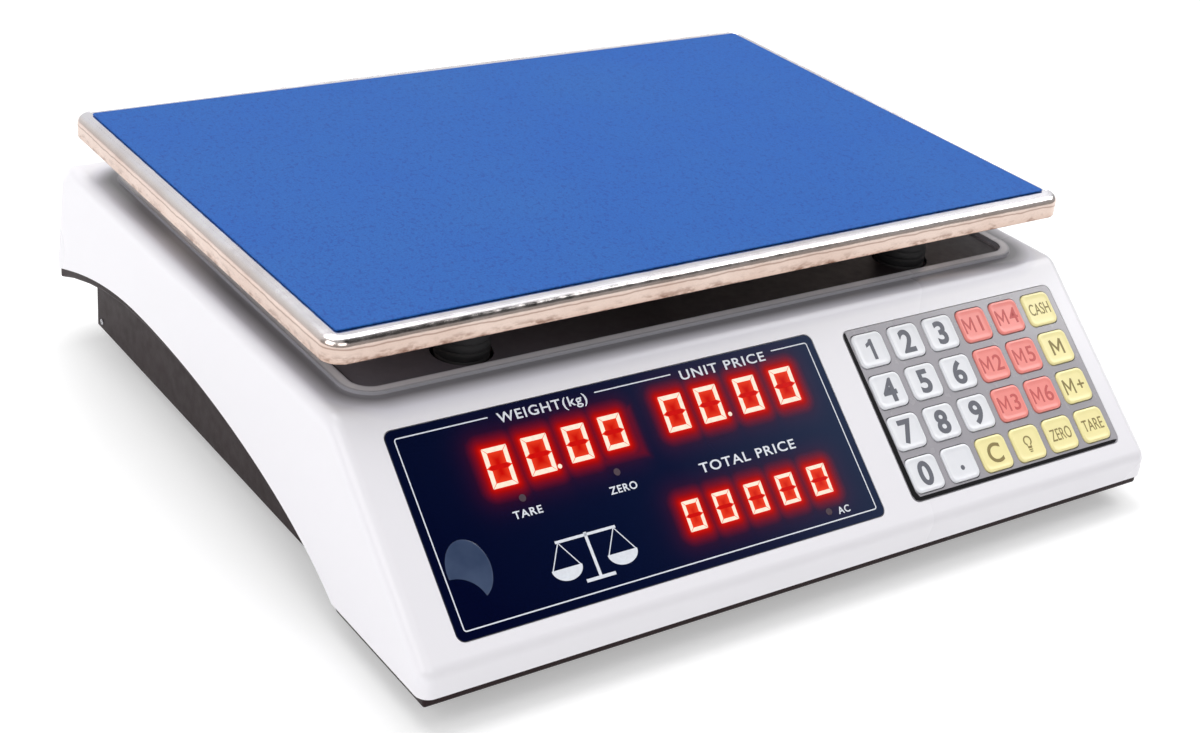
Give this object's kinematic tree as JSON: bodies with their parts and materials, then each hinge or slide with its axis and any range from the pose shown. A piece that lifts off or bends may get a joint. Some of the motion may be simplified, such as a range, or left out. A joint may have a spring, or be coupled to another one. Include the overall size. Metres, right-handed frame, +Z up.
{
  "type": "price computing scale",
  "caption": "Low counter price-computing scale: lift-off steel pan with a blue film, sloping panel with display window and keypad, white shell on a black base with levelling feet.",
  "frame": {"origin": "on the counter, at the centre of the scale's footprint", "axes": "+X to the operator's right, +Y towards the customer, +Z up"},
  "size_m": [0.342, 0.325, 0.11],
  "materials": {
    "white_shell": "glossy moulded ABS",
    "black_plastic": "fine-textured moulded ABS",
    "rocker_plastic": "smooth moulded nylon",
    "pan_steel": "polished stainless steel",
    "pan_film": "satin protective film",
    "cast_aluminium": "machined and cast",
    "plated_steel": "zinc plated",
    "rubber": "moulded rubber",
    "display_window": "printed acrylic window",
    "led_module": "tinted resin",
    "circuit_board": "solder mask",
    "keypad_plate": "satin moulded",
    "key_white": "satin moulded",
    "key_pink": "satin moulded",
    "key_yellow": "satin moulded",
    "level_vial": "clear moulded, fluid filled",
    "battery_case": "moulded ABS case"
  },
  "bodies": {
    "housing": {"base_tub": "black_plastic", "battery": "battery_case", "buzzer": "black_plastic", "front_display_window": "display_window", "keypad_board": "circuit_board", "keypad_frame": "keypad_plate", "led_module_total_price": "led_module", "led_module_unit_price": "led_module", "led_module_weight": "led_module", "load_cell": "cast_aluminium", "load_cell_base_bolts": "plated_steel", "load_cell_base_spacer": "plated_steel", "main_board": "circuit_board", "power_board": "circuit_board", "power_inlet": "black_plastic", "power_switch_housing": "black_plastic", "rear_display_board": "circuit_board", "rear_display_window": "display_window", "rear_led_module": "led_module", "spirit_level": "level_vial", "top_cover": "white_shell"},
    "platform": {"pan_spider": "cast_aluminium", "load_cell_top_spacer": "plated_steel", "load_cell_top_bolts": "plated_steel", "pan_rubber_front_left": "rubber", "pan_rubber_rear_left": "rubber", "pan_rubber_front_right": "rubber", "pan_rubber_rear_right": "rubber"},
    "pan": {"weighing_pan": "pan_steel", "pan_film": "pan_film"},
    "battery_door": {"battery_door": "black_plastic"},
    "power_switch_rocker": {"power_switch_rocker": "rocker_plastic"},
    "foot_front_left": {"foot_front_left": "rubber"},
    "foot_rear_left": {"foot_rear_left": "rubber"},
    "foot_front_right": {"foot_front_right": "rubber"},
    "foot_rear_right": {"foot_rear_right": "rubber"},
    "key_1": {"key_1": "key_white"},
    "key_2": {"key_2": "key_white"},
    "key_3": {"key_3": "key_white"},
    "key_m1": {"key_m1": "key_pink"},
    "key_m4": {"key_m4": "key_pink"},
    "key_cash": {"key_cash": "key_yellow"},
    "key_4": {"key_4": "key_white"},
    "key_5": {"key_5": "key_white"},
    "key_6": {"key_6": "key_white"},
    "key_m2": {"key_m2": "key_pink"},
    "key_m5": {"key_m5": "key_pink"},
    "key_memory": {"key_memory": "key_yellow"},
    "key_7": {"key_7": "key_white"},
    "key_8": {"key_8": "key_white"},
    "key_9": {"key_9": "key_white"},
    "key_m3": {"key_m3": "key_pink"},
    "key_m6": {"key_m6": "key_pink"},
    "key_memory_plus": {"key_memory_plus": "key_yellow"},
    "key_0": {"key_0": "key_white"},
    "key_point": {"key_point": "key_white"},
    "key_clear": {"key_clear": "key_yellow"},
    "key_light": {"key_light": "key_yellow"},
    "key_zero": {"key_zero": "key_yellow"},
    "key_tare": {"key_tare": "key_yellow"}
  },
  "joints": [
    {"name": "pan_lift", "type": "slide", "parent": "platform", "child": "pan", "axis": [0, 0, 1], "range_m": [0, 0.04]},
    {"name": "platform_deflection", "type": "slide", "parent": "housing", "child": "platform", "axis": [0, 0, -1], "range_m": [0, 0.00025], "stiffness_N_per_m": 200000},
    {"name": "power_switch", "type": "hinge", "parent": "housing", "child": "power_switch_rocker", "pos_m": [0.159, 0.03, 0.0255], "axis": [0, 0, -1], "range_deg": [0, 16]},
    {"name": "battery_door_slide", "type": "slide", "parent": "housing", "child": "battery_door", "axis": [0, 1, 0], "range_m": [0, 0.03]},
    {"name": "foot_front_left_screw", "type": "slide", "parent": "housing", "child": "foot_front_left", "axis": [0, 0, -1], "range_m": [0, 0.005]},
    {"name": "foot_rear_left_screw", "type": "slide", "parent": "housing", "child": "foot_rear_left", "axis": [0, 0, -1], "range_m": [0, 0.005]},
    {"name": "foot_front_right_screw", "type": "slide", "parent": "housing", "child": "foot_front_right", "axis": [0, 0, -1], "range_m": [0, 0.005]},
    {"name": "foot_rear_right_screw", "type": "slide", "parent": "housing", "child": "foot_rear_right", "axis": [0, 0, -1], "range_m": [0, 0.005]},
    {"name": "key_1_press", "type": "slide", "parent": "housing", "child": "key_1", "axis": [0, 0.6553, -0.7554], "range_m": [0, 0.0008], "stiffness_N_per_m": 600},
    {"name": "key_2_press", "type": "slide", "parent": "housing", "child": "key_2", "axis": [0, 0.6553, -0.7554], "range_m": [0, 0.0008], "stiffness_N_per_m": 600},
    {"name": "key_3_press", "type": "slide", "parent": "housing", "child": "key_3", "axis": [0, 0.6553, -0.7554], "range_m": [0, 0.0008], "stiffness_N_per_m": 600},
    {"name": "key_m1_press", "type": "slide", "parent": "housing", "child": "key_m1", "axis": [0, 0.6553, -0.7554], "range_m": [0, 0.0008], "stiffness_N_per_m": 600},
    {"name": "key_m4_press", "type": "slide", "parent": "housing", "child": "key_m4", "axis": [0, 0.6553, -0.7554], "range_m": [0, 0.0008], "stiffness_N_per_m": 600},
    {"name": "key_cash_press", "type": "slide", "parent": "housing", "child": "key_cash", "axis": [0, 0.6553, -0.7554], "range_m": [0, 0.0008], "stiffness_N_per_m": 600},
    {"name": "key_4_press", "type": "slide", "parent": "housing", "child": "key_4", "axis": [0, 0.6553, -0.7554], "range_m": [0, 0.0008], "stiffness_N_per_m": 600},
    {"name": "key_5_press", "type": "slide", "parent": "housing", "child": "key_5", "axis": [0, 0.6553, -0.7554], "range_m": [0, 0.0008], "stiffness_N_per_m": 600},
    {"name": "key_6_press", "type": "slide", "parent": "housing", "child": "key_6", "axis": [0, 0.6553, -0.7554], "range_m": [0, 0.0008], "stiffness_N_per_m": 600},
    {"name": "key_m2_press", "type": "slide", "parent": "housing", "child": "key_m2", "axis": [0, 0.6553, -0.7554], "range_m": [0, 0.0008], "stiffness_N_per_m": 600},
    {"name": "key_m5_press", "type": "slide", "parent": "housing", "child": "key_m5", "axis": [0, 0.6553, -0.7554], "range_m": [0, 0.0008], "stiffness_N_per_m": 600},
    {"name": "key_memory_press", "type": "slide", "parent": "housing", "child": "key_memory", "axis": [0, 0.6553, -0.7554], "range_m": [0, 0.0008], "stiffness_N_per_m": 600},
    {"name": "key_7_press", "type": "slide", "parent": "housing", "child": "key_7", "axis": [0, 0.6553, -0.7554], "range_m": [0, 0.0008], "stiffness_N_per_m": 600},
    {"name": "key_8_press", "type": "slide", "parent": "housing", "child": "key_8", "axis": [0, 0.6553, -0.7554], "range_m": [0, 0.0008], "stiffness_N_per_m": 600},
    {"name": "key_9_press", "type": "slide", "parent": "housing", "child": "key_9", "axis": [0, 0.6553, -0.7554], "range_m": [0, 0.0008], "stiffness_N_per_m": 600},
    {"name": "key_m3_press", "type": "slide", "parent": "housing", "child": "key_m3", "axis": [0, 0.6553, -0.7554], "range_m": [0, 0.0008], "stiffness_N_per_m": 600},
    {"name": "key_m6_press", "type": "slide", "parent": "housing", "child": "key_m6", "axis": [0, 0.6553, -0.7554], "range_m": [0, 0.0008], "stiffness_N_per_m": 600},
    {"name": "key_memory_plus_press", "type": "slide", "parent": "housing", "child": "key_memory_plus", "axis": [0, 0.6553, -0.7554], "range_m": [0, 0.0008], "stiffness_N_per_m": 600},
    {"name": "key_0_press", "type": "slide", "parent": "housing", "child": "key_0", "axis": [0, 0.6553, -0.7554], "range_m": [0, 0.0008], "stiffness_N_per_m": 600},
    {"name": "key_point_press", "type": "slide", "parent": "housing", "child": "key_point", "axis": [0, 0.6553, -0.7554], "range_m": [0, 0.0008], "stiffness_N_per_m": 600},
    {"name": "key_clear_press", "type": "slide", "parent": "housing", "child": "key_clear", "axis": [0, 0.6553, -0.7554], "range_m": [0, 0.0008], "stiffness_N_per_m": 600},
    {"name": "key_light_press", "type": "slide", "parent": "housing", "child": "key_light", "axis": [0, 0.6553, -0.7554], "range_m": [0, 0.0008], "stiffness_N_per_m": 600},
    {"name": "key_zero_press", "type": "slide", "parent": "housing", "child": "key_zero", "axis": [0, 0.6553, -0.7554], "range_m": [0, 0.0008], "stiffness_N_per_m": 600},
    {"name": "key_tare_press", "type": "slide", "parent": "housing", "child": "key_tare", "axis": [0, 0.6553, -0.7554], "range_m": [0, 0.0008], "stiffness_N_per_m": 600}
  ]
}
